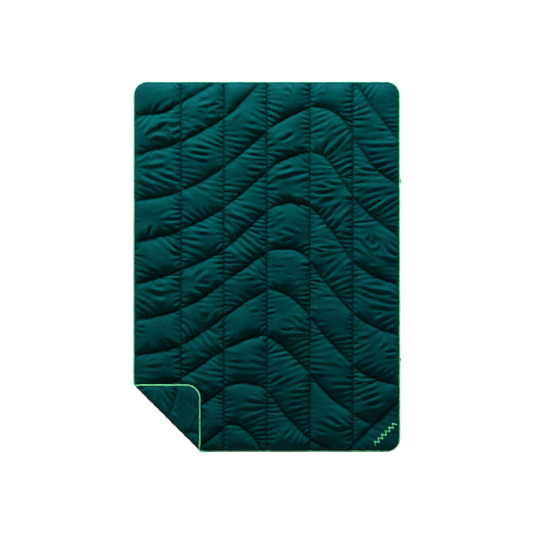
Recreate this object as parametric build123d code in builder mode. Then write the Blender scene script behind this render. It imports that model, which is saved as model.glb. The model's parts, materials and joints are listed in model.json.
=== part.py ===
from build123d import *
import os

# Quilted camp blanket, lying face up on a flat surface with one corner folded over.
# Origin: middle of the underside. +X to the blanket's right, +Y to its head end, +Z up.
# Every outline is drawn as on the blanket laid out flat. The folded corner uses the same
# flat drawing on a plane that is turned over about the fold.

os.makedirs("parts", exist_ok=True)

# ---------------------------------------------------------------- driving dimensions (mm)
blanket_width = 1320.0
blanket_length = 1830.0
corner_radius = 70.0
shell_thickness = 1.0
fill_thickness = 16.0
seam_gap = 1.0  # left free of fill where a seam is sewn through

binding_width = 7.0
binding_height = 7.0
binding_stitch_inset = 5.0
thread_width = 1.2
thread_height = 0.5

fold_leg = 333.0  # how far along each edge the folded corner reaches
patch_leg = 270.0  # how far along each edge the plain corner patch reaches
patch_thickness = 0.4
panel_gap = 0.2  # half the gap between two panels at a fold
fold_clearance = 1.0  # the fold's axis above the top shell

column_seams = [-424.0, -212.0, 0.0, 213.0, 425.0]

loop_places = {"upper_loop": 422.0, "lower_loop": -459.0}
loop_widths = {"upper_loop": 25.0, "lower_loop": 16.0}
loop_reach = 4.2
loop_axis_clearance = 1.3
webbing_thickness = 0.8

emblem_centre = (583.0, -826.0)
emblem_length = 150.0
emblem_height = 22.0
emblem_ribbon = 5.0

# ---------------------------------------------------------------- worked-out dimensions
half_width = blanket_width / 2
half_length = blanket_length / 2
top_shell_base = shell_thickness + fill_thickness
blanket_thickness = top_shell_base + shell_thickness
fold_sum = fold_leg - half_width - half_length  # x + y along the corner's fold
patch_sum = half_width + half_length - patch_leg  # x - y along the patch's seam
fold_axis_height = blanket_thickness + fold_clearance
far = 2 * blanket_length
below = half_length + 100.0

flat_plane = Plane.XY
turned_plane = Plane(
    origin=(fold_sum, fold_sum, 2 * fold_axis_height),
    x_dir=(0, -1, 0),
    z_dir=(0, 0, -1),
)
panel_planes = {"left": flat_plane, "right": flat_plane, "flap": turned_plane}

# Wave seams, each from the left to the right, as sewn on the flat blanket.
wave_seams = {
    "wave_00": [(415, 940), (435, 910), (524, 785), (637, 639), (680, 600)],
    "wave_01": [(-680, 741), (-521, 759), (-424, 807), (-268, 898), (-230, 930)],
    "wave_02": [(-680, 540), (-424, 618), (-208, 736), (-134, 800), (-49, 891), (-20, 930)],
    "wave_03": [(-680, 316), (-424, 373), (-208, 492), (0, 668), (108, 738), (215, 785),
                (250, 788), (321, 767), (378, 724), (425, 644), (476, 564), (542, 479),
                (646, 403), (680, 385)],
    "wave_04": [(-680, 110), (-424, 182), (-208, 294), (0, 469), (85, 530), (170, 559),
                (215, 562), (274, 549), (335, 483), (425, 346), (486, 279), (557, 218),
                (646, 154), (680, 135)],
    "wave_05": [(-680, -97), (-424, -18), (-208, 90), (0, 272), (75, 308), (127, 316),
                (215, 295), (307, 194), (373, 99), (425, 29), (533, -47), (680, -100)],
    "wave_06": [(-680, -272), (-424, -209), (-208, -75), (0, 70), (90, 90), (156, 76),
                (215, 24), (307, -99), (425, -229), (533, -297), (680, -345)],
    "wave_07": [(-680, -445), (-424, -386), (-208, -245), (-90, -165), (0, -118),
                (50, -116), (99, -136), (170, -193), (215, -250), (307, -362),
                (425, -483), (509, -542), (680, -594)],
    "wave_08": [(-680, -640), (-632, -628), (-512, -582), (-424, -551), (-208, -407),
                (-48, -342), (47, -362), (136, -447), (215, -532), (307, -636),
                (425, -723), (500, -768)],
    "wave_09": [(-680, -800), (-579, -784), (-506, -757), (-424, -725), (-315, -676),
                (-208, -598), (-105, -570), (0, -610), (75, -711), (165, -806),
                (215, -850), (297, -886), (350, -920)],
    "wave_10": [(-430, -935), (-380, -915), (-315, -872), (-208, -789), (-157, -775),
                (-91, -815), (-44, -874), (-15, -930)],
}
wave_panels = {
    "left": ["wave_01", "wave_02", "wave_03", "wave_04", "wave_05", "wave_06",
             "wave_07", "wave_08", "wave_09", "wave_10"],
    "right": ["wave_00", "wave_03", "wave_04", "wave_05", "wave_06", "wave_07",
              "wave_08", "wave_09"],
    "flap": ["wave_08", "wave_09"],
}


# ---------------------------------------------------------------- flat outlines
def panel_limits(panel, gap):
    """The half, or the corner, of the flat drawing that one panel takes up."""
    corners = {
        "left": [(-gap, far), (-far, far), (-far, fold_sum + far + gap),
                 (fold_sum + below + gap, -below), (-gap, -below)],
        "right": [(gap, far), (gap, -below), (far, -below), (far, far)],
        "flap": [(-far, fold_sum + far - gap), (fold_sum + below - gap, -below),
                 (-far, -below)],
    }
    with BuildSketch() as limits:
        with BuildLine():
            Polyline(*corners[panel], close=True)
        make_face()
    return limits.sketch


def panel_area(panel, inset=0.0, gap=panel_gap):
    """The flat outline of one panel, inset from the blanket's own edge."""
    limits = panel_limits(panel, gap)
    with BuildSketch() as area:
        RectangleRounded(
            blanket_width - 2 * inset, blanket_length - 2 * inset, corner_radius - inset
        )
        add(limits, mode=Mode.INTERSECT)
    return area.sketch


def edge_band(panel, outer_inset, inner_inset):
    """A band that follows the blanket's edge, between two insets."""
    area = panel_area(panel, outer_inset)
    with BuildSketch() as band:
        add(area)
        RectangleRounded(
            blanket_width - 2 * inner_inset,
            blanket_length - 2 * inner_inset,
            corner_radius - inner_inset,
            mode=Mode.SUBTRACT,
        )
    return band.sketch


def patch_area(inset):
    """The plain triangle in the lower right corner, inset from the binding and its seam."""
    area = panel_area("right", binding_width + inset)
    reach = patch_sum + inset
    with BuildSketch() as triangle:
        with BuildLine():
            Polyline((reach - below, -below), (far, far - reach), (far, -below), close=True)
        make_face()
        add(area, mode=Mode.INTERSECT)
    return triangle.sketch


def wave_band(seam, width):
    """A ribbon of even width along one wave seam."""
    with BuildSketch() as ribbon:
        with BuildLine():
            Spline(*wave_seams[seam])
        trace(line_width=width)
    return ribbon.sketch


def fill_area(panel, first, last):
    """The fill between two column seams on one panel."""
    area = panel_area(panel, binding_width, seam_gap)
    with BuildSketch() as chamber:
        with Locations(((first + last) / 2, 0)):
            Rectangle(last - first - seam_gap, far)
        add(area, mode=Mode.INTERSECT)
    return chamber.sketch


wave_ribbons = {seam: wave_band(seam, thread_width) for seam in wave_seams}
wave_crossings = {seam: wave_band(seam, 3 * thread_width) for seam in wave_seams}
seam_inset = binding_width + 2.0
seam_end_gap = 1.5  # a seam's thread stops this far short of a fold
seam_areas = {panel: panel_area(panel, seam_inset, seam_end_gap) for panel in panel_planes}
patch_clearance = patch_area(-2 * thread_width)


def column_band(panel, place):
    """A straight seam's ribbon, broken where the wave seams cross it."""
    with BuildSketch() as ribbon:
        with Locations((place, 0)):
            Rectangle(thread_width, far)
        add(seam_areas[panel], mode=Mode.INTERSECT)
        for crossing in wave_crossings.values():
            add(crossing, mode=Mode.SUBTRACT)
        if panel == "right":
            add(patch_clearance, mode=Mode.SUBTRACT)
    return ribbon.sketch


def write_part(solid, name):
    solid.label = name
    export_step(solid, f"parts/{name}.step")


# ---------------------------------------------------------------- shells and binding
for panel, plane in panel_planes.items():
    whole = panel_area(panel)
    inside_binding = panel_area(panel, binding_width)
    binding_band = edge_band(panel, 0, binding_width)
    stitch_band = edge_band(panel, binding_stitch_inset, binding_stitch_inset + thread_width)

    with BuildPart() as back_shell:
        with BuildSketch(plane):
            add(whole)
        extrude(amount=shell_thickness)
    write_part(back_shell.part, f"back_shell_{panel}")

    with BuildPart() as top_shell:
        with BuildSketch(plane.offset(top_shell_base)):
            add(inside_binding)
        extrude(amount=shell_thickness)
    write_part(top_shell.part, f"top_shell_{panel}")

    with BuildPart() as edge_binding:
        with BuildSketch(plane.offset(shell_thickness)):
            add(binding_band)
        extrude(amount=binding_height)
    write_part(edge_binding.part, f"edge_binding_{panel}")

    with BuildPart() as binding_stitch:
        with BuildSketch(plane.offset(shell_thickness + binding_height)):
            add(stitch_band)
        extrude(amount=thread_height)
    write_part(binding_stitch.part, f"binding_stitch_{panel}")

# ---------------------------------------------------------------- fill, one chamber a column
column_edges = [-half_width, *column_seams, half_width]

for number, (first, last) in enumerate(zip(column_edges, column_edges[1:]), start=1):
    chamber = fill_area("left" if last <= 0 else "right", first, last)
    with BuildPart() as fill_column:
        with BuildSketch(Plane.XY.offset(shell_thickness)):
            add(chamber)
        extrude(amount=fill_thickness)
    write_part(fill_column.part, f"fill_column_{number}")

flap_chambers = [fill_area("flap", *column_edges[0:2]), fill_area("flap", *column_edges[1:3])]
with BuildPart() as fill_flap:
    with BuildSketch(turned_plane.offset(shell_thickness)):
        for chamber in flap_chambers:
            add(chamber)
    extrude(amount=fill_thickness)
write_part(fill_flap.part, "fill_flap")

# ---------------------------------------------------------------- quilting threads
# The folded corner shows both of its faces in turn, so its threads are on both.
thread_bases = {
    "left": [blanket_thickness],
    "right": [blanket_thickness],
    "flap": [blanket_thickness, -thread_height],
}

for panel, seams in wave_panels.items():
    for seam in seams:
        with BuildPart() as wave_thread:
            for base in thread_bases[panel]:
                with BuildSketch(panel_planes[panel].offset(base)):
                    add(wave_ribbons[seam])
                    add(seam_areas[panel], mode=Mode.INTERSECT)
                    if panel == "right":
                        add(patch_clearance, mode=Mode.SUBTRACT)
                extrude(amount=thread_height)
        write_part(wave_thread.part, f"{seam}_thread_{panel}")

for number, place in enumerate(column_seams, start=1):
    if place == 0:
        place = -seam_end_gap - thread_width  # sewn on the left panel, beside the fold
    ribbon = column_band("left" if place < 0 else "right", place)
    with BuildPart() as column_thread:
        with BuildSketch(Plane.XY.offset(blanket_thickness)):
            add(ribbon)
        extrude(amount=thread_height)
    write_part(column_thread.part, f"column_thread_{number}")

flap_ribbon = column_band("flap", column_seams[0])
with BuildPart() as column_thread_flap:
    for base in thread_bases["flap"]:
        with BuildSketch(turned_plane.offset(base)):
            add(flap_ribbon)
        extrude(amount=thread_height)
write_part(column_thread_flap.part, "column_thread_flap")

# ---------------------------------------------------------------- corner patch and emblem
patch_outline = patch_area(1.0)
patch_stitch_outer = patch_area(4.0)
patch_stitch_inner = patch_area(4.0 + thread_width)
patch_top = blanket_thickness + patch_thickness

with BuildPart() as corner_patch:
    with BuildSketch(Plane.XY.offset(blanket_thickness)):
        add(patch_outline)
    extrude(amount=patch_thickness)
write_part(corner_patch.part, "corner_patch")

with BuildPart() as patch_stitch:
    with BuildSketch(Plane.XY.offset(patch_top)):
        add(patch_stitch_outer)
        add(patch_stitch_inner, mode=Mode.SUBTRACT)
    extrude(amount=thread_height)
write_part(patch_stitch.part, "patch_stitch")

peaks = 6
emblem_step = emblem_length / (2 * peaks)
emblem_plane = Plane(
    origin=(emblem_centre[0], emblem_centre[1], patch_top), x_dir=(1, 1, 0), z_dir=(0, 0, 1)
)
ridge_points = [
    ((corner - peaks) * emblem_step, emblem_height * (corner % 2 - 0.5))
    for corner in range(2 * peaks + 1)
]
with BuildPart() as patch_emblem:
    with BuildSketch(emblem_plane):
        with BuildLine():
            Polyline(*ridge_points)
        trace(line_width=emblem_ribbon)
    extrude(amount=thread_height)
write_part(patch_emblem.part, "patch_emblem")

# ---------------------------------------------------------------- webbing loops on the edge
loop_axis_x = half_width + loop_axis_clearance
loop_axis_z = shell_thickness + binding_height / 2
eye_radius = loop_reach / 2
eye_x = loop_axis_x + loop_reach - eye_radius

for name, place in loop_places.items():
    width = loop_widths[name]
    with BuildPart() as loop:
        with BuildSketch(Plane.XZ.offset(-place)):
            with Locations((eye_x, loop_axis_z)):
                Circle(eye_radius)
            with Locations((loop_axis_x + eye_radius / 2, loop_axis_z)):
                Rectangle(eye_radius, 2 * webbing_thickness)
            with Locations((eye_x, loop_axis_z)):
                Circle(eye_radius - webbing_thickness, mode=Mode.SUBTRACT)
        extrude(amount=width / 2, both=True)
    write_part(loop.part, name)

    with BuildPart() as bar_tack:
        with BuildSketch(Plane.XY.offset(shell_thickness + binding_height)):
            with Locations((half_width - binding_stitch_inset / 2, place)):
                Rectangle(3 * thread_width, width)
        extrude(amount=thread_height)
    write_part(bar_tack.part, f"{name}_bar_tack")
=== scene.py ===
import json
import math

import bpy
import numpy as np
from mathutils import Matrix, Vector

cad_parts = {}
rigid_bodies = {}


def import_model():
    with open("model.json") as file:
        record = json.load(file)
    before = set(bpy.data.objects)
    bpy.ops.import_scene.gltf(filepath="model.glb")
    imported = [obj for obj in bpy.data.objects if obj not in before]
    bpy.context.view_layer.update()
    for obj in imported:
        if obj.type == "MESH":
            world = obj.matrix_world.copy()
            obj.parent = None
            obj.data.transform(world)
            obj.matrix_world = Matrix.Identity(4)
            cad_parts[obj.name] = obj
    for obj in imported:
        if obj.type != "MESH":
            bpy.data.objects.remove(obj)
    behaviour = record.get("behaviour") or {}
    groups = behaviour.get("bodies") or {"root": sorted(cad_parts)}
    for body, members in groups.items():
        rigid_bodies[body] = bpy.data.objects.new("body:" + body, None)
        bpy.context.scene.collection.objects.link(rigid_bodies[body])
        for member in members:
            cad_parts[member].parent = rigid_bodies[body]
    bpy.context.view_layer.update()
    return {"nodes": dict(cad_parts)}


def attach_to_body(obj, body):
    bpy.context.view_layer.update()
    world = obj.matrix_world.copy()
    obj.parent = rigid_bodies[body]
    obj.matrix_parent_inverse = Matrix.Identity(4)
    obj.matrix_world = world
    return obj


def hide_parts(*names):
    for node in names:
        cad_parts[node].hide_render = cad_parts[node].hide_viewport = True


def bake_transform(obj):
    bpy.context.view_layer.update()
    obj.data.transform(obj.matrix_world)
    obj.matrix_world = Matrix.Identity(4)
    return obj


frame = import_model()

MM = 0.001

# ------ sizes of the blanket (mm)
HALF_WIDTH = 660.0
HALF_LENGTH = 915.0
CORNER_RADIUS = 70.0
BINDING_WIDTH = 7.0
SHEET_INSET = 5.5  # the shells' cut edges, hidden inside the binding
FOLD_LEG = 333.0
PATCH_LEG = 270.0
FOLD_SUM = FOLD_LEG - HALF_WIDTH - HALF_LENGTH  # x + y along the corner's fold
PATCH_SUM = HALF_WIDTH + HALF_LENGTH - PATCH_LEG  # x - y along the patch's seam
FOLD_AXIS_Z = 19.0
COLUMN_SEAMS = [-424.0, -212.0, 0.0, 213.0, 425.0]
WAVE_SEAMS = {
    "wave_00": [(415, 940), (435, 910), (524, 785), (637, 639), (680, 600)],
    "wave_01": [(-680, 741), (-521, 759), (-424, 807), (-268, 898), (-230, 930)],
    "wave_02": [(-680, 540), (-424, 618), (-208, 736), (-134, 800), (-49, 891), (-20, 930)],
    "wave_03": [
        (-680, 316), (-424, 373), (-208, 492), (0, 668), (108, 738), (215, 785), (250, 788), (321, 767),
        (378, 724), (425, 644), (476, 564), (542, 479), (646, 403), (680, 385),
    ],
    "wave_04": [
        (-680, 110), (-424, 182), (-208, 294), (0, 469), (85, 530), (170, 559), (215, 562), (274, 549),
        (335, 483), (425, 346), (486, 279), (557, 218), (646, 154), (680, 135),
    ],
    "wave_05": [
        (-680, -97), (-424, -18), (-208, 90), (0, 272), (75, 308), (127, 316), (215, 295), (307, 194),
        (373, 99), (425, 29), (533, -47), (680, -100),
    ],
    "wave_06": [
        (-680, -272), (-424, -209), (-208, -75), (0, 70), (90, 90), (156, 76), (215, 24), (307, -99),
        (425, -229), (533, -297), (680, -345),
    ],
    "wave_07": [
        (-680, -445), (-424, -386), (-208, -245), (-90, -165), (0, -118), (50, -116), (99, -136),
        (170, -193), (215, -250), (307, -362), (425, -483), (509, -542), (680, -594),
    ],
    "wave_08": [
        (-680, -640), (-632, -628), (-512, -582), (-424, -551), (-208, -407), (-48, -342), (47, -362),
        (136, -447), (215, -532), (307, -636), (425, -723), (500, -768),
    ],
    "wave_09": [
        (-680, -800), (-579, -784), (-506, -757), (-424, -725), (-315, -676), (-208, -598),
        (-105, -570), (0, -610), (75, -711), (165, -806), (215, -850), (297, -886), (350, -920),
    ],
    "wave_10": [
        (-430, -935), (-380, -915), (-315, -872), (-208, -789), (-157, -775), (-91, -815), (-44, -874),
        (-15, -930),
    ],
}

# ------ the flat grid of cloth
STEP = 4.24  # grid spacing, 50 steps to a column
COLUMNS = 154  # grid lines each side of the centre
ROWS = 214
SEAM_Z = 5.6  # the layers' middle at a seam, on the part that lies on the floor
FLAP_SEAM_Z = 9.0  # the same on the folded corner, as if it lay flat
EDGE_Z = 3.4  # the layers' middle inside the binding
FLAP_EDGE_Z = 9.0
FOLD_SLOPE = 60.0  # how far behind the fold these heights change
PLY_GAP = 0.7  # from the layers' middle to each shell at a seam
SEAM_MARGIN = 2.0  # keeps a seam's own vertices on the right side of a test
EDGE_BAND = (-0.55 * STEP, 0.6 * STEP)  # vertices this near the cut edge move onto it
MIN_AREA = 0.3  # mm2, under which a triangle is left out
CUT_ROWS = 7  # rows of grid each side of the fold that the rolled strip takes
FOLD_ROW = int(round(FOLD_SUM / STEP)) + COLUMNS + ROWS


def smooth_curve(points, step=1.0):
    """Points about every step mm along a smooth curve through the given points."""
    p = np.array(points, float)
    p = np.vstack([2 * p[0] - p[1], p, 2 * p[-1] - p[-2]])
    spans = []
    for p0, p1, p2, p3 in zip(p, p[1:], p[2:], p[3:]):
        count = max(2, int(np.linalg.norm(p2 - p1) / step))
        t = np.linspace(0, 1, count, endpoint=False)[:, None]
        spans.append(
            0.5 * (2 * p1 + (p2 - p0) * t + (2 * p0 - 5 * p1 + 4 * p2 - p3) * t**2
                   + (3 * p1 - p0 - 3 * p2 + p3) * t**3)
        )
    return np.vstack([*spans, p[-2:-1]])


def outline_distance(x, y, inset=0.0):
    """Signed distance to the blanket's rounded outline, negative inside."""
    qx = np.abs(x) - (HALF_WIDTH - CORNER_RADIUS)
    qy = np.abs(y) - (HALF_LENGTH - CORNER_RADIUS)
    outside = np.hypot(np.maximum(qx, 0), np.maximum(qy, 0))
    return outside + np.minimum(np.maximum(qx, qy), 0) - (CORNER_RADIUS - inset)


def onto_outline(x, y, inset, chosen=True):
    """Moves chosen points to the nearest point of the inset outline, and leaves the others."""
    centre_x = HALF_WIDTH - CORNER_RADIUS
    centre_y = HALF_LENGTH - CORNER_RADIUS
    radius = CORNER_RADIUS - inset
    ax, ay = np.abs(x), np.abs(y)
    qx, qy = ax - centre_x, ay - centre_y
    reach = np.hypot(qx, qy) + 1e-9
    corner = (qx > 0) & (qy > 0)
    beside = ~corner & (qx > qy)
    above = ~corner & (qx <= qy)
    px = np.where(corner, centre_x + qx / reach * radius, np.where(beside, centre_x + radius, ax))
    py = np.where(corner, centre_y + qy / reach * radius, np.where(above, centre_y + radius, ay))
    near_x, near_y = px * np.where(x < 0, -1, 1), py * np.where(y < 0, -1, 1)
    return np.where(chosen, near_x, x), np.where(chosen, near_y, y)


def ramp(value, low, high):
    """A smooth rise from 0 at low to 1 at high."""
    t = np.clip((value - low) / (high - low), 0, 1)
    return t * t * (3 - 2 * t)


def between(values, i, j, fi, fj):
    """Values of a grid at row i + fi and column j + fj, where fi and fj are from 0 to 1."""
    low = values[i, j] * (1 - fj) + values[i, j + 1] * fj
    high = values[i + 1, j] * (1 - fj) + values[i + 1, j + 1] * fj
    return low * (1 - fi) + high * fi


def soft_noise(shape, cells, rng):
    """Smooth random values over a grid, with about this many bumps across its width."""
    height, width = shape
    rows = int(cells * height / width) + 3
    values = rng.standard_normal((rows, cells + 3))
    y = np.linspace(0, rows - 2.001, height)
    x = np.linspace(0, cells + 0.999, width)
    y, x = y[:, None], x[None]
    i, j = y.astype(int), x.astype(int)
    return between(values, i, j, ramp(y - i, 0, 1), ramp(x - j, 0, 1))


def fold_distance(x, y):
    """How far a flat point is from the corner's fold, positive on the main part."""
    return (x + y - FOLD_SUM) / math.sqrt(2)


def layers_height(x, y, main, flap):
    """A height that is main on the part on the floor, and flap on the folded corner."""
    return main + (flap - main) * (1 - ramp(fold_distance(x, y), -FOLD_SLOPE, 0))


def seam_height(x, y):
    """Height of the layers' middle where they are sewn together."""
    return layers_height(x, y, SEAM_Z, FLAP_SEAM_Z)


def edge_height(x, y):
    """Height of the layers' middle inside the binding."""
    return layers_height(x, y, EDGE_Z, FLAP_EDGE_Z)


seam_curves = {name: smooth_curve(points) for name, points in WAVE_SEAMS.items()}
patch_ends = np.linspace(-HALF_LENGTH, HALF_WIDTH - PATCH_SUM, 400)
patch_curve = np.stack([patch_ends + PATCH_SUM, patch_ends], 1)


class Grid:
    """The blanket's cloth as a flat grid, with its vertices moved onto the seams."""

    def __init__(self):
        x = np.arange(-COLUMNS, COLUMNS + 1) * STEP
        y = np.arange(-ROWS, ROWS + 1) * STEP
        self.x, self.y = (a.copy() for a in np.meshgrid(x, y))
        self.shape = self.x.shape
        self.column = np.zeros(self.shape, bool)
        self.wave = np.zeros(self.shape, bool)
        for place in COLUMN_SEAMS:
            j = int(round(place / STEP)) + COLUMNS
            self.x[:, j] = place
            self.column[:, j] = True
        for curve in [*seam_curves.values(), patch_curve]:
            self.snap(curve)
        in_patch = self.x - self.y > PATCH_SUM + SEAM_MARGIN
        self.column &= ~in_patch
        self.wave &= ~in_patch
        self.patch = self.x - self.y > PATCH_SUM - SEAM_MARGIN
        distance = outline_distance(self.x, self.y, SHEET_INSET)
        self.edge = (distance >= EDGE_BAND[0]) & (distance < EDGE_BAND[1])
        self.x, self.y = onto_outline(self.x, self.y, SHEET_INSET, self.edge)
        self.used = (distance < 0) | self.edge
        self.seam = (self.column | self.wave | self.edge) & self.used
        self.free = self.used & ~self.seam
        self.middle = np.where(
            self.edge, edge_height(self.x, self.y), seam_height(self.x, self.y)
        )
        rows, columns = np.indices(self.shape)
        self.diagonal = rows + columns  # constant along lines that run beside the fold
        self.from_seam = self.spread(self.seam)
        self.from_column = self.spread(self.column & self.used)

    def snap(self, curve):
        """Moves the grid's nearest vertices onto a curve, one in each row or column."""
        for (px, py), (dx, dy) in zip(curve, np.diff(curve, axis=0)):
            if abs(dy) < abs(dx):
                low, high = sorted((px, px + dx))
                for line in range(math.ceil(low / STEP), math.floor(high / STEP) + 1):
                    y = py + dy * (line * STEP - px) / dx
                    self.move(int(round(y / STEP)) + ROWS, line + COLUMNS, y=y)
            elif dy:
                low, high = sorted((py, py + dy))
                for line in range(math.ceil(low / STEP), math.floor(high / STEP) + 1):
                    x = px + dx * (line * STEP - py) / dy
                    self.move(line + ROWS, int(round(x / STEP)) + COLUMNS, x=x)

    def move(self, i, j, x=None, y=None):
        if 0 <= i < self.shape[0] and 0 <= j < self.shape[1]:
            self.wave[i, j] = True
            if y is not None:
                self.y[i, j] = y
            elif not self.column[i, j]:
                self.x[i, j] = x

    def spread(self, sources, reach=30):
        """Distance from each vertex to the nearest source, up to reach grid steps."""
        distance = np.where(sources, 0.0, reach * STEP)
        steps = [(di, dj) for di in (-1, 0, 1) for dj in (-1, 0, 1) if di or dj]
        for _ in range(reach):
            for di, dj in steps:
                moved = np.roll(distance, (di, dj), (0, 1))
                distance = np.minimum(distance, moved + STEP * math.hypot(di, dj))
        return distance


grid = Grid()

# ------ cloth simulation
EVEN_SPARE = 0.3  # the share of spare cloth that runs equally in every direction
SPEED_KEPT = 0.9  # the share of its speed that the cloth keeps from step to step
PULL_DOWN = 0.3  # how firmly the fill pulls high cloth down, against how it lifts low cloth
CEILING_PUSH = 0.6  # the share of its height over the ceiling that cloth loses in a step
SINK = 0.3  # how far below its seams the cloth may go, in mm


def neighbour_pairs(shape):
    """Slices that pair grid vertices along rows, columns and both diagonals.
    No vertex is in a set twice, so each set can be moved at once."""
    height, width = shape
    every_row, every_column = slice(0, height), slice(0, width)
    pairs = []
    for start in (0, 1):
        even_rows, odd_rows = slice(start, height - 1, 2), slice(start + 1, height, 2)
        even_columns, odd_columns = slice(start, width - 1, 2), slice(start + 1, width, 2)
        pairs += [
            ((every_row, even_columns), (every_row, odd_columns), 1.0),
            ((even_rows, every_column), (odd_rows, every_column), 1.0),
            ((even_rows, slice(0, width - 1)), (odd_rows, slice(1, width)), 0.5),
            ((even_rows, slice(1, width)), (odd_rows, slice(0, width - 1)), 0.5),
        ]
    return pairs


def laplacian(field):
    result = np.zeros_like(field)
    result[..., 1:-1, 1:-1] = (
        field[..., 2:, 1:-1] + field[..., :-2, 1:-1] + field[..., 1:-1, 2:]
        + field[..., 1:-1, :-2] - 4 * field[..., 1:-1, 1:-1]
    )
    return result


def simulate_cloth(base, spare, spare_along, lean, loft, softness, ceiling, bending, steps, seed):
    """Puffs one shell between its sewn seams, and returns each vertex's x, y and height.

    The cloth is cut larger than the ground it covers, by spare, so it has to pucker. Most of
    the spare runs at the angle lean, so creases form across it. The seams are held at base,
    the fill pushes it up towards loft, and it can't pass ceiling. Each step moves pairs of
    neighbours back to their cut distance, which is position-based cloth.
    """
    rng = np.random.default_rng(seed)
    free = grid.free.astype(np.float32)
    place = np.stack([grid.x, grid.y, base]).astype(np.float32)
    rough = sum(
        size * soft_noise(grid.shape, cells, rng)
        for size, cells in ((2.0, 14), (4.0, 30), (2.0, 60), (1.0, 120))
    )
    place[2] += free * (0.7 * (loft - base) + rough)
    springs = []
    for first, second, stiffness in neighbour_pairs(grid.shape):
        dx = grid.x[first] - grid.x[second]
        dy = grid.y[first] - grid.y[second]
        length = np.hypot(dx, dy)
        upright = np.abs(dy) / np.maximum(length, 1e-6)
        extra = 0.5 * (spare[first] + spare[second])
        extra = extra * (EVEN_SPARE + 2 * (1 - EVEN_SPARE)
                         * np.cos(np.arctan2(dy, dx) - lean[first]) ** 2)
        extra = extra + 0.5 * upright * (spare_along[first] + spare_along[second])
        weight = free[first] + free[second]
        held = grid.used[first] & grid.used[second] & (weight > 0)
        share = np.where(held, stiffness / np.maximum(weight, 1e-6), 0).astype(np.float32)
        whole = slice(None)
        springs.append((
            (whole, *first), (whole, *second), (length * (1 + extra)).astype(np.float32),
            free[first] * share, free[second] * share,
        ))
    speed = np.zeros_like(place)
    loft, softness = loft.astype(np.float32), softness.astype(np.float32)
    ceiling = np.asarray(ceiling, np.float32)
    for _ in range(steps):
        before = place.copy()
        place += SPEED_KEPT * speed
        lift = loft - place[2]
        place[2] += free * softness * np.where(lift > 0, lift, PULL_DOWN * lift)
        place -= bending * free * laplacian(laplacian(place) * grid.used)
        for first, second, length, share_first, share_second in springs:
            gap = place[second] - place[first]
            size = np.maximum(np.sqrt((gap * gap).sum(0)), 1e-4)
            gap *= (size - length) / size
            place[first] += gap * share_first
            place[second] -= gap * share_second
        place[2] -= CEILING_PUSH * free * np.maximum(place[2] - ceiling, 0)
        place[2] = np.where(grid.free, np.maximum(place[2], base - SINK), place[2])
        speed = place - before
    place[2] = np.minimum(place[2], np.where(grid.free, ceiling, place[2]))
    # Cloth that has bulged over the binding is brought back inside it.
    over = grid.free & (outline_distance(place[0], place[1], BINDING_WIDTH) > 0)
    place[0], place[1] = onto_outline(place[0], place[1], BINDING_WIDTH, over)
    return place.astype(float)


distance = grid.from_seam
variety = np.random.default_rng(21)
SIM_STEPS = 700


def dome(reach, power=1.0):
    """A rounded profile that rises from each seam, and is level from reach mm on."""
    return (1 - (1 - np.minimum(distance, reach) / reach) ** 2) ** power


def varied(share, cells):
    return np.clip(1 + share * soft_noise(grid.shape, cells, variety), 0.05, None)


# The top shell: full puffs, with more gathering along the straight seams.
TOP_PUFF = 20.0  # how far the fill lifts the face over its seams
TOP_LIMIT = 31.0  # the highest that the face may reach
PATCH_PUFF = 7.0
BACK_PUFF = 10.0
covered = (1 - ramp(grid.x, -340, -290)) * (1 - ramp(grid.y, -600, -550))  # under the flap
top_base = grid.middle + PLY_GAP
lean = math.pi / 2 + 0.7 * soft_noise(grid.shape, 14, variety) + 0.5 * soft_noise(
    grid.shape, 18, variety
)
patches = np.clip(soft_noise(grid.shape, 30, variety), 0, 2)
from_edge = ramp(-outline_distance(grid.x, grid.y), 6, 50)
top_spare = np.where(grid.patch, 0.012, (0.026 + 0.050 * patches) * (0.4 + 0.6 * from_edge))
top_spare_along = np.where(grid.patch, 0.0, 0.024 * np.exp(-grid.from_column / 14) * varied(0.8, 30))
top_loft = top_base + (TOP_PUFF - 10.0 * covered) * dome(75, 0.8) * varied(0.15, 8)
top_loft = np.where(grid.patch, top_base + PATCH_PUFF * dome(60), top_loft)
top_ceiling = TOP_LIMIT - 13.2 * covered
top_softness = 0.0007 * (1 + 2 * np.exp(-distance / 14.0))
top = simulate_cloth(top_base, top_spare, top_spare_along, lean, top_loft, top_softness,
                     top_ceiling, bending=0.003, steps=SIM_STEPS, seed=3)

# The back shell: the same cloth puffed downwards, pressed flat by the floor.
back_base = grid.middle - PLY_GAP
on_flap = fold_distance(grid.x, grid.y) < 0
back_spare = np.where(on_flap, 0.016 + 0.035 * patches, 0.014 * varied(0.35, 12))
back_spare_along = 0.02 * np.exp(-grid.from_column / 25)
back_depth = np.minimum(BACK_PUFF * dome(60), back_base - 0.4)
back = simulate_cloth(-back_base, back_spare, back_spare_along, -lean, back_depth - back_base,
                      top_softness * 1.5, np.full(grid.shape, -0.3), bending=0.004,
                      steps=SIM_STEPS // 2, seed=8)
back[2] *= -1


# ------ turning the grid into pieces
LEFT, RIGHT, FLAP = "left_half", "right_half", "corner_flap"
CENTRE_BLEND = 22.0  # a piece that reaches within this distance of the centre seam is left on no body
scene_objects = bpy.context.scene.collection.objects


def add_object(name, data):
    made = bpy.data.objects.new(name, data)
    scene_objects.link(made)
    return made


def turn_over(points):
    """Moves points of the flat blanket's corner to where they lie once it is folded over."""
    x, y, z = points[..., 0], points[..., 1], points[..., 2]
    return np.stack([FOLD_SUM - y, FOLD_SUM - x, 2 * FOLD_AXIS_Z - z], -1)


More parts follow.
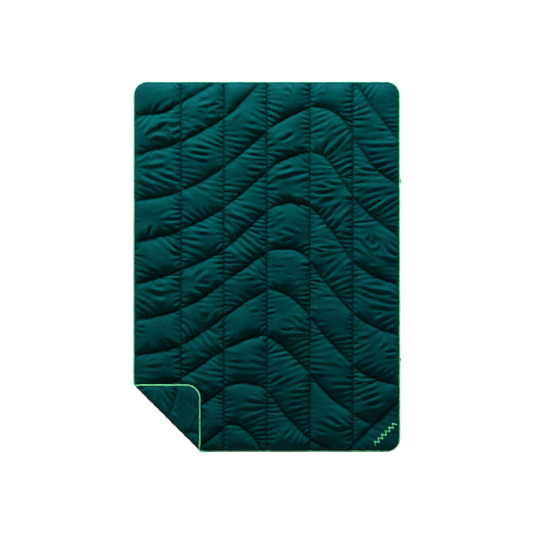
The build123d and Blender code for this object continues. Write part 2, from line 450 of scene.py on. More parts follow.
def new_mesh(name, points, faces, flat=None, from_seam=None):
    """An object from points in mm. For cloth, flat holds each point's place on the flat cloth
    and from_seam how far it is from a seam, both in mm."""
    mesh = bpy.data.meshes.new(name)
    mesh.from_pydata((np.asarray(points) * MM).tolist(), [], [tuple(map(int, f)) for f in faces])
    mesh.update()
    if flat is not None:
        layer = mesh.uv_layers.new(name="flat")
        corners = np.zeros(len(mesh.loops), np.int32)
        mesh.loops.foreach_get("vertex_index", corners)
        layer.data.foreach_set("uv", (np.asarray(flat)[corners] * MM).astype(np.float32).ravel())
    if from_seam is not None:
        # Distance from a seam, which the cloth's material uses to paint shade into the seams' valleys.
        valley = mesh.attributes.new("from_seam", "FLOAT", "POINT")
        valley.data.foreach_set("value", np.asarray(from_seam, np.float32))
    mesh.polygons.foreach_set("use_smooth", np.ones(len(mesh.polygons), bool))
    return add_object(name, mesh)


def grid_triangles(place):
    """Two triangles for each cell, split along seams and along lines beside the fold."""
    rows, columns = np.indices((grid.shape[0] - 1, grid.shape[1] - 1))
    width = grid.shape[1]
    a = rows * width + columns
    b, c, d = a + 1, a + width + 1, a + width  # a, b, c, d run round the cell
    seam = grid.seam.ravel()
    corner = place.reshape(3, -1)

    def span(first, second):
        return np.linalg.norm(corner[:, first] - corner[:, second], axis=0)

    along = grid.diagonal[:-1, :-1] + 1
    beside_fold = np.abs(along - FOLD_ROW) <= CUT_ROWS + 1
    rising_seam = seam[a] & seam[c] & ~(seam[b] & seam[d])
    falling_seam = seam[b] & seam[d] & ~(seam[a] & seam[c])
    rising = np.where(rising_seam, True, np.where(falling_seam, False, span(a, c) < span(b, d)))
    rising &= ~beside_fold
    first = np.stack([a, b, np.where(rising, c, d)], -1)
    second = np.stack([np.where(rising, a, b), c, d], -1)
    triangles = np.concatenate([first.reshape(-1, 3), second.reshape(-1, 3)])
    triangles = triangles[grid.used.ravel()[triangles].all(1)]
    p, q, r = (np.stack([grid.x.ravel()[t], grid.y.ravel()[t]], -1) for t in triangles.T)
    area = 0.5 * ((q - p)[:, 0] * (r - p)[:, 1] - (q - p)[:, 1] * (r - p)[:, 0])
    return triangles[area > MIN_AREA]


def cut_piece(name, place, triangles, keep, turned=False, downward=False):
    """The part of a shell whose vertices are all in keep."""
    chosen = triangles[keep.ravel()[triangles].all(1)]
    ids, local = np.unique(chosen, return_inverse=True)
    points = place.reshape(3, -1).T[ids]
    flat = np.stack([grid.x.ravel()[ids], grid.y.ravel()[ids]], -1)
    faces = local.reshape(-1, 3)
    if turned:
        points = turn_over(points)
    if downward:
        faces = faces[:, ::-1]
    return new_mesh(name, points, faces, flat, grid.from_seam.ravel()[ids])


columns_index = np.indices(grid.shape)[1]
in_left = (columns_index <= COLUMNS) & (grid.diagonal >= FOLD_ROW + CUT_ROWS)
in_right = columns_index >= COLUMNS
in_flap = grid.diagonal <= FOLD_ROW - CUT_ROWS
panel_masks = {"left": in_left, "right": in_right, "flap": in_flap}

shells = {}
for side, place, downward in (("top", top, False), ("back", back, True)):
    triangles = grid_triangles(place)
    for panel, mask in panel_masks.items():
        shells[side, panel] = cut_piece(
            f"{side}_cloth_{panel}", place, triangles, mask, panel == "flap", downward
        )

PATCH_LIFT = 0.5  # the patch lies this far over the face
patch_place = top.copy()
patch_place[2] += PATCH_LIFT
corner_patch = cut_piece(
    "patch_cloth", patch_place, grid_triangles(top), grid.patch & (grid.x > 0)
)


# ------ the roll at the corner's fold
def chain(place, row):
    """The shell's vertices on one line beside the fold, from the left edge to the bottom."""
    i, j = np.nonzero((grid.diagonal == row) & grid.used & (grid.x < 0) & (grid.y < 0))
    order = np.argsort(-i)
    i, j = i[order], j[order]
    return np.stack([place[0, i, j], place[1, i, j], place[2, i, j]], -1)


FOLD_STEPS = 110
FOLD_RINGS = 17
FOLD_STRIP = 60.0  # width of the strips that go round the fold
NO_SEAM = 40.0  # a distance from any seam that gives cloth its full colour, free of the painted seam shade


def arc_length(line):
    """How far along a line each of its points is."""
    return np.concatenate([[0], np.cumsum(np.linalg.norm(np.diff(line, axis=0), axis=1))])


def points_at(line, length, at):
    """The points at given distances along a line."""
    return np.stack([np.interp(at, length, line[:, k]) for k in range(line.shape[1])], -1)


def even_points(line, count):
    """A line of points spaced evenly from end to end."""
    length = arc_length(line)
    return points_at(line, length, np.linspace(0, length[-1], count))


def fold_roll(name, place, tip, wrinkle, seed):
    """A strip that carries one shell round the corner's fold.

    It leaves the main part level, swings out until it is tip mm inside the fold, and comes
    back over it to the folded corner.
    """
    first = even_points(chain(place, FOLD_ROW + CUT_ROWS), FOLD_STEPS)
    last = even_points(turn_over(chain(place, FOLD_ROW - CUT_ROWS)), FOLD_STEPS)
    rng = np.random.default_rng(seed)
    waves = soft_noise((FOLD_RINGS, FOLD_STEPS), 26, rng) + soft_noise(
        (FOLD_RINGS, FOLD_STEPS), 60, rng
    )
    along = np.linspace(0, 1, FOLD_STEPS)
    reach = fold_distance(first[:, 0], first[:, 1]) - tip
    reach = reach - wrinkle * 1.5 * (1 - ramp(along, 0, 0.06)) + 2.0 * ramp(along, 0.94, 1.0)
    outward = np.array([-1.0, -1.0, 0.0]) / math.sqrt(2)
    rings = []
    for ring, angle in enumerate(np.linspace(0, math.pi, FOLD_RINGS)):
        across = angle / math.pi
        over = (1 - math.cos(angle)) / 2
        line = first * (1 - across) + last * across
        line[:, 2] = first[:, 2] * (1 - over) + last[:, 2] * over
        push = math.sin(angle) * (reach + wrinkle * waves[ring])
        rings.append(line + push[:, None] * outward)
    points = np.array(rings)
    ring_index, step_index = np.indices((FOLD_RINGS - 1, FOLD_STEPS - 1))
    a = (ring_index * FOLD_STEPS + step_index).ravel()
    faces = np.stack([a, a + FOLD_STEPS, a + FOLD_STEPS + 1, a + 1], -1)
    flat = np.stack([
        np.broadcast_to(along * FOLD_LEG * math.sqrt(2), points.shape[:2]),
        np.broadcast_to(np.linspace(0, FOLD_STRIP, FOLD_RINGS)[:, None], points.shape[:2]),
    ], -1)
    # No painted seam shade on the strips round the fold.
    clear = np.full(points.shape[0] * points.shape[1], NO_SEAM)
    return new_mesh(name, points.reshape(-1, 3), faces, flat.reshape(-1, 2), clear)


fold_outside = fold_roll("fold_roll_cloth", back, 0.8, 0.7, 5)
fold_inside = fold_roll("fold_crease_cloth", top, 5.0, 0.4, 6)


# ------ edge binding
def outline_path(inset, spacing):
    """Points round the whole blanket's outline, clockwise from the middle of the top edge."""
    radius = CORNER_RADIUS - inset
    cx, cy = HALF_WIDTH - CORNER_RADIUS, HALF_LENGTH - CORNER_RADIUS
    points = []
    for sx, sy, begin in ((1, 1, 90), (1, -1, 0), (-1, -1, -90), (-1, 1, -180)):
        for angle in np.radians(np.linspace(begin, begin - 90, 25)):
            points.append((sx * cx + radius * math.cos(angle), sy * cy + radius * math.sin(angle)))
    points.insert(0, (0.0, HALF_LENGTH - inset))
    points.append((0.0, HALF_LENGTH - inset))
    points = np.array(points)
    return even_points(points, int(arc_length(points)[-1] / spacing) + 1)


TAPE_SPACING = 4.0
TAPE_INSET = 3.3  # from the outline to the tape's middle line
FOLD_TURN = 21.0  # how far from the fold the cloth begins to roll over
TAPE_TIP = 1.5  # how far inside the fold the binding's middle turns
TURNED_EDGE_Z = 5.0  # height of the binding's middle where its turn ends, before it turns

# The tape's cross-section: how far out from its middle line, and how high.
TAPE_SECTION = [
    (-3.7, 1.5), (-3.5, 2.1), (-2.0, 2.35), (0.0, 2.45), (1.8, 2.0), (2.9, 1.15), (3.3, 0.0),
    (2.9, -1.15), (1.8, -1.9), (0.0, -2.2), (-2.0, -2.1), (-3.5, -1.9), (-3.7, -1.3),
]
tape_rng = np.random.default_rng(4)


def tape_sections(path, outward):
    """The tape's cross-section at each point of its path: x, y and height over its middle."""
    sections = np.array(TAPE_SECTION)
    count = len(path)
    bend = soft_noise((2, count), count // 9, tape_rng)[0]
    gather = soft_noise((2, count), count // 2, tape_rng)[0]
    side = sections[:, 0] * (1 + 0.05 * gather[:, None]) + 0.25 * bend[:, None]
    result = np.zeros((count, len(sections), 3))
    result[..., :2] = path[:, None] + outward[:, None] * side[..., None]
    result[..., 2] = sections[:, 1] * (1 + 0.08 * gather[:, None])
    return result


def lay_tape(sections):
    """Puts flat tape where it lies on the blanket: level, round the fold, or turned over."""
    x, y, lift = sections[..., 0], sections[..., 1], sections[..., 2]
    away = fold_distance(x, y)
    level = np.stack([x, y, edge_height(x, y) + lift], -1)
    angle = np.pi * np.clip((FOLD_TURN - away) / (2 * FOLD_TURN), 0, 1)
    low = EDGE_Z
    high = 2 * FOLD_AXIS_Z - TURNED_EDGE_Z
    middle = (low + high) / 2 - (high - low) / 2 * np.cos(angle)
    inward = FOLD_TURN - (FOLD_TURN - TAPE_TIP) * np.sin(angle) + lift * np.sin(angle)
    slide = (inward - away) / math.sqrt(2)
    rolled = np.stack([x + slide, y + slide, middle + lift * np.cos(angle)], -1)
    over = turn_over(level)
    place = np.where((away >= FOLD_TURN)[..., None], level, rolled)
    return np.where((away <= -FOLD_TURN)[..., None], over, place)


def skin(name, points):
    """Quads between successive sections, with both ends capped."""
    count, size = points.shape[:2]
    faces = []
    for k in range(count - 1):
        for m in range(size):
            n = (m + 1) % size
            faces.append((k * size + m, (k + 1) * size + m, (k + 1) * size + n, k * size + n))
    faces.append(tuple(range(size)))
    faces.append(tuple(reversed(range((count - 1) * size, count * size))))
    return new_mesh(name, points.reshape(-1, 3), faces)


def runs(mask):
    """Start and end of each run of true values."""
    padded = np.concatenate([[False], mask, [False]]).astype(int)
    change = np.flatnonzero(np.diff(padded))
    return list(zip(change[::2], change[1::2]))


tape_path = outline_path(TAPE_INSET, TAPE_SPACING)
edge_x, edge_y = onto_outline(tape_path[:, 0] * 1.0001, tape_path[:, 1] * 1.0001, 0.0)
tape_out = np.stack([edge_x, edge_y], -1) - tape_path
tape_out /= np.linalg.norm(tape_out, axis=1, keepdims=True)
tape_fold = fold_distance(*tape_path.T)
tape_points = lay_tape(tape_sections(tape_path, tape_out))


def join_pieces(name, pieces):
    """One object from several."""
    points, faces, base = [], [], 0
    for piece in pieces:
        co = np.zeros(len(piece.data.vertices) * 3)
        piece.data.vertices.foreach_get("co", co)
        points.append(co.reshape(-1, 3) / MM)
        faces += [tuple(base + v for v in p.vertices) for p in piece.data.polygons]
        base += len(piece.data.vertices)
        bpy.data.objects.remove(piece)
    return new_mesh(name, np.concatenate(points), faces)


def tape_piece(name, chosen):
    parts = [skin(name, tape_points[first:last]) for first, last in runs(chosen)]
    return parts[0] if len(parts) == 1 else join_pieces(name, parts)


binding = {
    "left": tape_piece(
        "binding_tape_left", (tape_fold >= FOLD_TURN) & (tape_path[:, 0] <= TAPE_SPACING)
    ),
    "right": tape_piece("binding_tape_right", tape_path[:, 0] >= -TAPE_SPACING),
    "flap": tape_piece("binding_tape_flap", tape_fold <= -FOLD_TURN),
}
round_fold = np.abs(tape_fold) < FOLD_TURN + TAPE_SPACING
tape_turns = [
    skin(f"binding_turn_{end}", tape_points[first:last])
    for end, (first, last) in zip(("lower", "upper"), runs(round_fold))
]


# ------ stitches
STITCH_PITCH = 3.4
SEAM_LIFTS = (0.45, -0.25)  # of a seam's stitches from the top and back shells
BINDING_STITCH_INSET = 5.2
BINDING_LIFTS = (2.35, -2.1)  # of the binding's stitches from its middle
SEAM_END = 9.0  # a seam's stitches stop this far inside the outline
STITCH_SHAPE = [  # along, across, up, as shares of the stitch's size
    (-0.5, 0, -0.2), (0.5, 0, -0.2), (0, -0.5, 0), (0, 0.5, 0), (0, 0, 0.6), (0, 0, -0.6),
]
STITCH_FACES = [
    (0, 2, 4), (2, 1, 4), (1, 3, 4), (3, 0, 4), (2, 0, 5), (1, 2, 5), (3, 1, 5), (0, 3, 5),
]


def height_at(place, x, y):
    """A shell's height at flat points."""
    column = np.clip(np.asarray(x) / STEP + COLUMNS, 0, 2 * COLUMNS - 1.001)
    row = np.clip(np.asarray(y) / STEP + ROWS, 0, 2 * ROWS - 1.001)
    i, j = row.astype(int), column.astype(int)
    return between(place[2], i, j, row - i, column - j)


def every(path, spacing):
    """Points at even spacing along a path, with the direction at each."""
    path = np.asarray(path, float)
    length = arc_length(path)
    at = np.arange(spacing / 2, length[-1], spacing)
    direction = points_at(path, length, at + 0.5) - points_at(path, length, at - 0.5)
    direction /= np.linalg.norm(direction, axis=1, keepdims=True)
    return points_at(path, length, at), direction


def sideways(direction):
    """Each direction turned a quarter turn to the left."""
    return np.stack([-direction[:, 1], direction[:, 0]], -1)


def stitches(points, direction, height, length=2.7, width=1.4, thick=1.0):
    """Corner points of one small stitch at each place, as an array of (stitch, corner, 3)."""
    shape = np.array(STITCH_SHAPE)
    across = sideways(direction)
    result = np.zeros((len(points), len(shape), 3))
    for k, (along, side, up) in enumerate(shape):
        result[:, k, :2] = points + direction * along * length + across * side * width
        result[:, k, 2] = height + up * thick
    return result


def stitch_piece(name, groups):
    corners = np.concatenate(groups)
    base = np.arange(len(corners))[:, None, None] * len(STITCH_SHAPE)
    faces = (base + np.array(STITCH_FACES)[None]).reshape(-1, 3)
    return new_mesh(name, corners.reshape(-1, 3), faces)


def seam_stitches(points, direction):
    """A seam's stitches on both faces of the blanket."""
    middle = seam_height(*points.T)
    return [
        stitches(points, direction, middle + PLY_GAP + SEAM_LIFTS[0]),
        stitches(points, direction, middle - PLY_GAP + SEAM_LIFTS[1]),
    ]


def panel_of(points):
    """Which panel each flat point belongs to, or none where the cloth rolls over."""
    away = fold_distance(*points.T)
    on_left = points[:, 0] <= 0
    return {
        "left": (away > FOLD_TURN) & on_left,
        "right": ~on_left,
        "flap": away < -FOLD_TURN,
    }


threads = []  # (piece, CAD node, panel)
panel_bodies = {"left": LEFT, "right": RIGHT, "flap": FLAP}


def add_thread(name, groups, cad_node, panel):
    if panel == "flap":
        groups = [turn_over(group) for group in groups]
    threads.append((stitch_piece(name, groups), cad_node, panel))


def seam_thread(seam, node_names):
    """One piece of thread for each panel that a seam crosses and the model has a node for."""
    points, direction = every(seam, STITCH_PITCH)
    sewn = outline_distance(*points.T) < -SEAM_END
    sewn &= points[:, 0] - points[:, 1] < PATCH_SUM - SEAM_MARGIN
    for panel, mask in panel_of(points).items():
        mask = mask & sewn
        cad_node = node_names.get(panel)
        if cad_node in frame["nodes"] and mask.any():
            groups = seam_stitches(points[mask], direction[mask])
            add_thread(cad_node.replace("thread", "stitches"), groups, cad_node, panel)


for seam_name, curve in seam_curves.items():
    seam_thread(curve, {panel: f"{seam_name}_thread_{panel}" for panel in panel_bodies})
for number, place in enumerate(COLUMN_SEAMS, 1):
    line = [(place, HALF_LENGTH), (place, -HALF_LENGTH)]
    panel = "left" if place <= 0 else "right"
    seam_thread(line, {panel: f"column_thread_{number}", "flap": "column_thread_flap"})

# The stitch line through the binding, on both faces.
binding_path, binding_direction = every(
    outline_path(BINDING_STITCH_INSET, TAPE_SPACING), STITCH_PITCH
)
binding_height = edge_height(*binding_path.T)
for panel, mask in panel_of(binding_path).items():
    groups = [
        stitches(binding_path[mask], binding_direction[mask], binding_height[mask] + lift,
                 length=2.5, width=1.0, thick=0.8)
        for lift in BINDING_LIFTS
    ]
    add_thread(f"binding_stitches_{panel}", groups, f"binding_stitch_{panel}", panel)

# ------ corner patch and emblem
HEM_INSET = 5.0  # from the patch's seam, across the blanket
HEM_ENDS = (-HALF_LENGTH + 9.0, HALF_WIDTH - PATCH_SUM - 14.0)
HEM_PITCH = 3.2
HEM_LIFT = 0.35
hem_points, hem_direction = every([(y + PATCH_SUM + HEM_INSET, y) for y in HEM_ENDS], HEM_PITCH)
patch_stitches = stitch_piece("patch_hem_stitches", [
    stitches(hem_points, hem_direction, height_at(top, *hem_points.T) + PATCH_LIFT + HEM_LIFT)
])

EMBLEM_CENTRE = np.array([583.0, -826.0])
EMBLEM_LENGTH = 150.0
EMBLEM_HEIGHT = 22.0
EMBLEM_PEAKS = 6
EMBLEM_WIDTH = 5.0
EMBLEM_ROUNDING = 0.22  # the share of each slope that its rounded top takes


def ridge_line():
    """The emblem's zigzag of ridges on the flat blanket, with softly rounded tops."""
    step = EMBLEM_LENGTH / (2 * EMBLEM_PEAKS)
    right = np.array([1.0, 1.0]) / math.sqrt(2)
    up = np.array([-1.0, 1.0]) / math.sqrt(2)
    corners = [
        EMBLEM_CENTRE + right * (k - EMBLEM_PEAKS) * step + up * EMBLEM_HEIGHT * (k % 2 - 0.5)
        for k in range(2 * EMBLEM_PEAKS + 1)
    ]
    points = []
    for before, corner, after in zip(corners, corners[1:], corners[2:]):
        for t in np.linspace(0.18, 0.82, 5):
            near = corner + (before - corner) * EMBLEM_ROUNDING * (1 - t)
            far = corner + (after - corner) * EMBLEM_ROUNDING * t
            points.append((near + far) / 2 + (corner - (near + far) / 2) * 0.25)
    return np.array([corners[0], *points, corners[-1]])


def satin_band(name, path, width, spacing=0.9):
    """A raised band of close threads laid across a path on the patch."""
    points, direction = every(path, spacing)
    across = sideways(direction)
    profile = [(-0.5, -0.2), (-0.42, 0.7), (-0.2, 1.15), (0.2, 1.15), (0.42, 0.7), (0.5, -0.2)]
    body = np.zeros((len(points), len(profile), 3))
    ridge = 0.18 * (np.arange(len(points)) % 2)
    for k, (side, up) in enumerate(profile):
        body[:, k, :2] = points + across * side * width
        body[:, k, 2] = height_at(top, *body[:, k, :2].T) + PATCH_LIFT + up + ridge * (up > 0)
    return skin(name, body)


emblem = satin_band("patch_emblem_band", ridge_line(), EMBLEM_WIDTH)

# ------ webbing loops on the edge
LOOP_AXIS_X = 661.3
LOOP_AXIS_Z = 4.5
LOOPS = {"upper_loop": (422.0, 25.0), "lower_loop": (-459.0, 16.0)}
LOOP_HALF = [  # upper half of the folded tape's middle line: out from the loop's axis, and up
    (-3.4, 0.55), (-1.8, 0.9), (0.0, 1.2), (1.5, 1.45), (2.7, 1.2), (3.45, 0.55),
]
LOOP_LINE = [*LOOP_HALF, (3.6, 0.0), *((out, -up) for out, up in reversed(LOOP_HALF))]
LOOP_TAPE = 0.55  # half of the tape's thickness
LOOP_SECTIONS = 15
TACK_X = 656.6
TACK_PITCH = 1.1


def webbing_loop(name, place, width):
    line = np.array(LOOP_LINE)
    side = sideways(np.gradient(line, axis=0))
    side /= np.linalg.norm(side, axis=1, keepdims=True)
    ring = np.concatenate([line + side * LOOP_TAPE, (line - side * LOOP_TAPE)[::-1]])
    points = np.zeros((LOOP_SECTIONS, len(ring), 3))
    for k, share in enumerate(np.linspace(-1, 1, LOOP_SECTIONS)):
        reach = 1 - 0.10 * abs(share) ** 6 - 0.10 * (1 - abs(share)) ** 2
        puff = 1 - 0.16 * (1 - abs(share)) ** 2
        points[k, :, 0] = LOOP_AXIS_X + np.where(ring[:, 0] > 0, ring[:, 0] * reach, ring[:, 0])
        points[k, :, 1] = place + share * width / 2 * (1 - 0.02 * ring[:, 0].clip(0))
        points[k, :, 2] = LOOP_AXIS_Z + ring[:, 1] * puff
    return skin(name, points)


def bar_tack(name, place, width):
    """Close zigzag stitches that hold a loop's ends through the binding."""
    y = np.arange(place - width / 2 + 1, place + width / 2, TACK_PITCH)
    points = np.stack([np.full(len(y), TACK_X) + 0.5 * (np.arange(len(y)) % 2), y], -1)
    lean = np.where(np.arange(len(y)) % 2, 0.35, -0.35)
    direction = np.stack([np.cos(lean), np.sin(lean)], -1)
    return stitch_piece(name, [
        stitches(points, direction, EDGE_Z + 2.55, length=4.6, width=1.2, thick=0.9),
        stitches(points, direction, EDGE_Z - 2.15, length=4.6, width=1.2, thick=0.7),
    ])


loops = {}
for name, (place, width) in LOOPS.items():
    loops[name] = webbing_loop(f"{name}_webbing", place, width)
    loops[name, "tack"] = bar_tack(f"{name}_tack_stitches", place, width)

# ------ insulation inside
FILL_STRIDE = 5  # steps of the grid to a cell of fill
FILL_SKIN = 0.8  # between the fill and the shells
FILL_INSET = 12.0
FILL_FOLD_GAP = 34.0  # from the corner's fold


def nearby(field, extreme):
    """The lowest or highest value of a field within one coarse cell of each vertex."""
    result = field.copy()
    for axis in (0, 1):
        source = result.copy()
        for shift in range(-FILL_STRIDE, FILL_STRIDE + 1):
            result = extreme(result, np.roll(source, shift, axis))
    return result


fill_top = np.maximum(nearby(top[2], np.minimum) - FILL_SKIN, grid.middle + 0.1)
fill_back = np.minimum(nearby(back[2], np.maximum) + FILL_SKIN, grid.middle - 0.1)
away = fold_distance(grid.x, grid.y)


def insulation(name, first, last, keep, turned=False):
    """The layer of fill between two columns of the grid, closed all round."""
    i = np.arange(ROWS % FILL_STRIDE, grid.shape[0], FILL_STRIDE)
    j = np.arange(first + COLUMNS, last + COLUMNS + 1, FILL_STRIDE)
    i, j = np.meshgrid(i, j, indexing="ij")
    inside = keep[i, j] & (outline_distance(grid.x[i, j], grid.y[i, j]) < -FILL_INSET)
    cells = inside[:-1, :-1] & inside[1:, :-1] & inside[:-1, 1:] & inside[1:, 1:]
    number = np.arange(i.size).reshape(i.shape)
    x, y = grid.x[i, j].ravel(), grid.y[i, j].ravel()
    upper = np.stack([x, y, fill_top[i, j].ravel()], -1)
    lower = np.stack([x, y, fill_back[i, j].ravel()], -1)
    a, b = number[:-1, :-1][cells], number[:-1, 1:][cells]
    c, d = number[1:, 1:][cells], number[1:, :-1][cells]
    faces = [*zip(a, b, c, d)]
    edges = dict.fromkeys(edge for face in faces for edge in zip(face, face[1:] + face[:1]))
    rim = [edge for edge in edges if edge[::-1] not in edges]
    shift = i.size
    below = [tuple(shift + v for v in face[::-1]) for face in faces]
    walls = [(end, start, start + shift, end + shift) for start, end in rim]
    every_face = [*faces, *below, *walls]
    used = sorted({v for face in every_face for v in face})
    index = {v: k for k, v in enumerate(used)}
    points = np.concatenate([upper, lower])[used]
    if turned:
        points = turn_over(points)
    return new_mesh(name, points, [tuple(index[v] for v in face) for face in every_face])


fill_limits = range(-150, 151, 50)
fills = {}
for number, (first, last) in enumerate(zip(fill_limits, fill_limits[1:]), 1):
    fills[f"fill_column_{number}"] = insulation(
        f"insulation_{number}", first, last, away > FILL_FOLD_GAP
    )
fills["fill_flap"] = insulation("insulation_flap", -150, -75, away < -FILL_FOLD_GAP, turned=True)

# ------ materials
def material(name, colour, roughness, sheen=0.0, specular=0.5, tint=(1, 1, 1)):
    """A new material, with the parts that every one here needs."""
    made = bpy.data.materials.new(name)
    made.use_nodes = True
    shader = made.node_tree.nodes["Principled BSDF"]
    for socket, value in {
        "Base Color": (*colour, 1), "Roughness": roughness, "Sheen Weight": sheen,
        "Sheen Roughness": 0.5, "Specular IOR Level": specular, "Specular Tint": (*tint, 1),
    }.items():
        shader.inputs[socket].default_value = value
    return made, made.node_tree, shader


def give(tree, socket, value):
    """Links an output to a socket, or sets its value."""
    if isinstance(value, bpy.types.NodeSocket):
        tree.links.new(value, socket)
    else:
        socket.default_value = value


def node(tree, kind, **values):
    """A new node, with its inputs or settings given by name."""
    made = tree.nodes.new(kind)
    for name, value in values.items():
        socket = made.inputs.get(name.replace("_", " "))
        if socket is None:
            setattr(made, name, value)
        else:
            give(tree, socket, value)
    return made


def noise(tree, place, scale, detail, **settings):
    made = node(tree, "ShaderNodeTexNoise", Vector=place, Scale=scale, Detail=detail, **settings)
    return made.outputs["Fac"]


def colour_ramp(tree, value, stops):
    made = tree.nodes.new("ShaderNodeValToRGB")
    tree.links.new(value, made.inputs["Fac"])
    elements = made.color_ramp.elements
    elements[0].position, elements[0].color = stops[0][0], (*stops[0][1], 1)
    elements[1].position, elements[1].color = stops[-1][0], (*stops[-1][1], 1)
    for position, colour in stops[1:-1]:
        elements.new(position).color = (*colour, 1)
    return made.outputs["Color"]


def maths(tree, operation, *values):
    made = tree.nodes.new("ShaderNodeMath")
    made.operation = operation
    for socket, value in zip(made.inputs, values):
        give(tree, socket, value)
    return made.outputs[0]


def add_bump(tree, shader, height):
    """Bump from a height in metres."""
    bump = node(tree, "ShaderNodeBump", Height=height, Strength=1.0, Distance=1.0)
    tree.links.new(bump.outputs["Normal"], shader.inputs["Normal"])


def shell_cloth(name, colour, light, dark, roughness, crinkle):
    """Thin ripstop nylon: a fine plain weave, a grid of thicker threads, soft creases, and painted
    shade along its seams.
    """
    made, tree, shader = material(name, colour, roughness, specular=0.12, tint=(0.1, 0.8, 0.82))
    place = node(tree, "ShaderNodeUVMap", uv_map="flat").outputs["UV"]  # on the flat cloth, m
    blotches = noise(tree, place, 9.0, 4.0, Roughness=0.6)
    flecks = noise(tree, place, 140.0, 3.0)
    tone = maths(tree, "ADD", maths(tree, "MULTIPLY", blotches, 0.75),
                 maths(tree, "MULTIPLY", flecks, 0.25))
    # Painted shade: the colour is scaled to 0.35 of itself on a seam and rises to full 10 mm away,
    # standing in for the shade in the puffs' valleys.
    from_seam = node(tree, "ShaderNodeAttribute", attribute_name="from_seam").outputs["Fac"]
    valley = node(tree, "ShaderNodeMapRange", Value=from_seam, From_Max=10.0, To_Min=0.35)
    tones = colour_ramp(tree, tone, [(0.36, dark), (0.5, colour), (0.66, light)])
    shaded = node(tree, "ShaderNodeVectorMath", operation="SCALE", Vector=tones,
                  Scale=valley.outputs["Result"])
    tree.links.new(shaded.outputs["Vector"], shader.inputs["Base Color"])
    axes = node(tree, "ShaderNodeSeparateXYZ", Vector=place)
    weave = maths(
        tree, "MULTIPLY",
        maths(tree, "SINE", maths(tree, "MULTIPLY", axes.outputs["X"], 9000.0)),
        maths(tree, "SINE", maths(tree, "MULTIPLY", axes.outputs["Y"], 9000.0)),
    )
    ribs = []
    for axis in ("X", "Y"):
        share = maths(tree, "FRACT", maths(tree, "MULTIPLY", axes.outputs[axis], 200.0))
        ribs.append(maths(tree, "LESS_THAN", share, 0.12))
    ripstop = maths(tree, "MAXIMUM", *ribs)
    creases = noise(tree, place, 60.0, 5.0, Roughness=0.62, Distortion=0.8)
    ridged = maths(tree, "ABSOLUTE", maths(tree, "SUBTRACT", creases, 0.5))
    height = maths(
        tree, "ADD",
        maths(tree, "MULTIPLY", ridged, crinkle),
        maths(tree, "ADD", maths(tree, "MULTIPLY", weave, 0.00003),
              maths(tree, "MULTIPLY", ripstop, 0.00006)),
    )
    add_bump(tree, shader, height)
    rough = node(tree, "ShaderNodeMapRange", Value=noise(tree, place, 30.0, 3.0),
                 To_Min=roughness - 0.06, To_Max=roughness + 0.06)
    tree.links.new(rough.outputs["Result"], shader.inputs["Roughness"])
    return made


def ribbed(name, colour, light, dark, roughness, pitch, depth, sheen=0.3):
    """Woven tape or thread: close ribs across it, and slight changes of colour."""
    made, tree, shader = material(name, colour, roughness, sheen=sheen, specular=0.4)
    place = node(tree, "ShaderNodeTexCoord").outputs["Object"]
    tones = [(0.3, dark), (0.5, colour), (0.7, light)]
    colours = colour_ramp(tree, noise(tree, place, 60.0, 4.0), tones)
    tree.links.new(colours, shader.inputs["Base Color"])
    axes = node(tree, "ShaderNodeSeparateXYZ", Vector=place)
    along = maths(tree, "ADD", axes.outputs["X"], axes.outputs["Y"])
    ribs = maths(tree, "SINE", maths(tree, "MULTIPLY", along, 2 * math.pi / pitch))
    grain = noise(tree, place, 1500.0, 2.0)
    height = maths(tree, "ADD", maths(tree, "MULTIPLY", ribs, depth),
                   maths(tree, "MULTIPLY", grain, depth * 1.5))
    add_bump(tree, shader, height)
    return made


TEAL = (0.0, 0.044, 0.0465)
TEAL_LIGHT = (0.0, 0.057, 0.060)
TEAL_DARK = (0.0, 0.033, 0.035)
top_cloth = shell_cloth("teal_ripstop", TEAL, TEAL_LIGHT, TEAL_DARK, 0.50, 0.007)
back_cloth = shell_cloth("teal_lining", (0.0, 0.048, 0.051), (0.0, 0.058, 0.062),
                         (0.0, 0.038, 0.041), 0.52, 0.006)
edge_tape = ribbed("green_grosgrain", (0.14, 0.72, 0.32), (0.18, 0.80, 0.38),
                   (0.11, 0.62, 0.27), 0.6, 0.0011, 0.00006)
edge_thread = ribbed("green_thread", (0.055, 0.40, 0.16), (0.08, 0.47, 0.2),
                     (0.04, 0.33, 0.12), 0.5, 0.0005, 0.00004)
webbing = ribbed("green_webbing", (0.08, 0.85, 0.2), (0.11, 0.9, 0.25), (0.06, 0.75, 0.16),
                 0.6, 0.0014, 0.00008)
quilting_thread = ribbed("olive_thread", (0.022, 0.040, 0.012), (0.03, 0.05, 0.02),
                         (0.014, 0.03, 0.008), 0.7, 0.0006, 0.00004, sheen=0.0)
dark_thread = ribbed("dark_teal_thread", (0.002, 0.016, 0.016), (0.003, 0.022, 0.022),
                     (0.001, 0.011, 0.011), 0.7, 0.0006, 0.00004, sheen=0.0)
satin_thread = ribbed("green_satin", (0.10, 0.85, 0.33), (0.14, 0.92, 0.4),
                      (0.08, 0.75, 0.28), 0.35, 0.0007, 0.00005, sheen=0.2)
wadding = ribbed("white_wadding", (0.75, 0.75, 0.73), (0.82, 0.82, 0.80), (0.65, 0.65, 0.63),
                 0.9, 0.004, 0.0004, sheen=0.4)


def near_centre(piece):
    xs = [v.co.x for v in piece.data.vertices]
    return min(xs) < CENTRE_BLEND * MM and max(xs) > -CENTRE_BLEND * MM


def dress(piece, made):
    piece.data.materials.clear()
    piece.data.materials.append(made)


def attach(piece, body, cad_node, slot, made):
    """Puts a piece in place of a CAD node, with its material. The slot is not used.

    A piece that reaches the centre fold stays where it is, on no body, and any other rides on its body.
    """
    if body != FLAP and near_centre(piece):
        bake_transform(piece)
    else:
        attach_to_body(piece, body)
    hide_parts(cad_node)
    dress(piece, made)


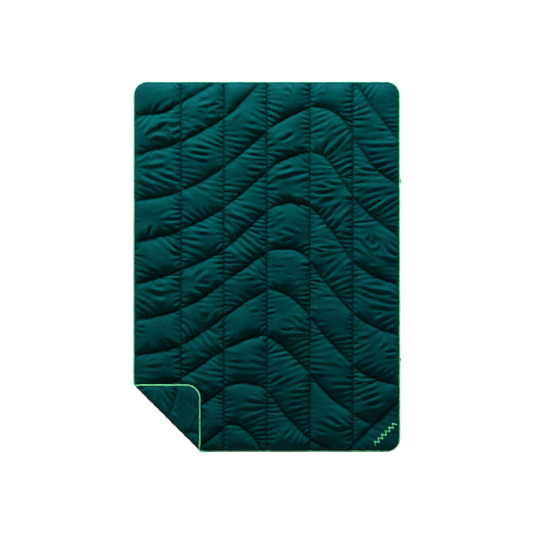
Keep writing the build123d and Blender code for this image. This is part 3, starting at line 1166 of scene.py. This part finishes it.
shell_cloths = {"top": top_cloth, "back": back_cloth}
thread_kinds = {
    "binding": ("edge_thread", edge_thread),
    "column": ("quilting_thread", dark_thread),
    "wave": ("quilting_thread", quilting_thread),
}
for (side, panel), piece in shells.items():
    node_name, slot = f"{side}_shell_{panel}", f"{side}_cloth"
    attach(piece, panel_bodies[panel], node_name, slot, shell_cloths[side])
for panel, piece in binding.items():
    attach(piece, panel_bodies[panel], f"edge_binding_{panel}", "edge_tape", edge_tape)
for piece, cad_node, panel in threads:
    attach(piece, panel_bodies[panel], cad_node, *thread_kinds[cad_node.split("_")[0]])
for cad_node, piece in fills.items():
    body = FLAP if cad_node == "fill_flap" else LEFT if cad_node[-1] in "123" else RIGHT
    attach(piece, body, cad_node, "fill", wadding)
attach(corner_patch, RIGHT, "corner_patch", "top_cloth", top_cloth)
attach(patch_stitches, RIGHT, "patch_stitch", "quilting_thread", quilting_thread)
attach(emblem, RIGHT, "patch_emblem", "emblem", satin_thread)
for name, (place, _) in LOOPS.items():
    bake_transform(loops[name])
    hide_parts(name)
    dress(loops[name], webbing)
    attach(loops[name, "tack"], RIGHT, f"{name}_bar_tack", "edge_thread", edge_thread)

for piece, slot, made, low, high in (
    (fold_outside, "back_cloth", back_cloth, 0.002, 0.036),
    (fold_inside, "top_cloth", top_cloth, 0.0165, 0.0215),
    (tape_turns[0], "edge_tape", edge_tape, 0.005, 0.031),
    (tape_turns[1], "edge_tape", edge_tape, 0.005, 0.031),
):
    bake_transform(piece)
    dress(piece, made)

# ------ floor, light and camera
FLOOR_REACH = 40000.0
floor_corners = [(x * FLOOR_REACH, y * FLOOR_REACH, 0) for x, y in ((-1, -1), (1, -1), (1, 1), (-1, 1))]
floor = new_mesh("studio_floor", floor_corners, [(0, 1, 2, 3)])
floor_paint, _, floor_shader = material("white_floor", (0.86, 0.86, 0.86), 0.9)
floor_shader.inputs["Emission Color"].default_value = (1, 1, 1, 1)
floor_shader.inputs["Emission Strength"].default_value = 0.93
floor.data.materials.append(floor_paint)

world = bpy.data.worlds.new("studio")
world.use_nodes = True
world.node_tree.nodes["Background"].inputs["Color"].default_value = (1, 1, 1, 1)
sky = node(world.node_tree, "ShaderNodeLightPath").outputs["Is Camera Ray"]
sky = maths(world.node_tree, "MULTIPLY_ADD", sky, 0.9, 0.06)
world.node_tree.links.new(sky, world.node_tree.nodes["Background"].inputs["Strength"])
bpy.context.scene.world = world
bpy.context.scene.view_settings.view_transform = "Standard"


def soft_light(name, place, target, size, power):
    data = bpy.data.lights.new(name, "AREA")
    data.shape = "RECTANGLE"
    data.size, data.size_y = size
    data.energy = power
    lamp = add_object(name, data)
    lamp.location = place
    aim = Vector(target) - Vector(place)
    lamp.rotation_euler = aim.to_track_quat("-Z", "Y").to_euler()
    return lamp


FAR_LIGHT = ((-0.5, 4.2, 1.2), (0, 0.1, 0), (2.6, 0.7))  # its place, target and size
far_softbox = soft_light("far_softbox", *FAR_LIGHT, 640.0)
far_softbox.visible_glossy = False  # so that the cloth doesn't glare in a view along the floor
far_gloss = soft_light("far_gloss", *FAR_LIGHT, 150.0)
far_gloss.visible_diffuse = False
soft_light("left_fill", (-3.6, 0.6, 1.1), (0, 0, 0), (1.5, 1.5), 42.0)
soft_light("right_fill", (3.6, 0.2, 1.1), (0, 0, 0), (1.5, 1.5), 26.0)
soft_light("near_fill", (0.3, -3.6, 0.8), (0, -0.4, 0), (2.0, 0.8), 14.0)

camera_data = bpy.data.cameras.new("camera")
camera_data.type = "ORTHO"
camera_data.ortho_scale = 2.6288
camera = add_object("camera", camera_data)
camera.location = (-0.0011, 0.00025, 4.0)
bpy.context.scene.camera = camera
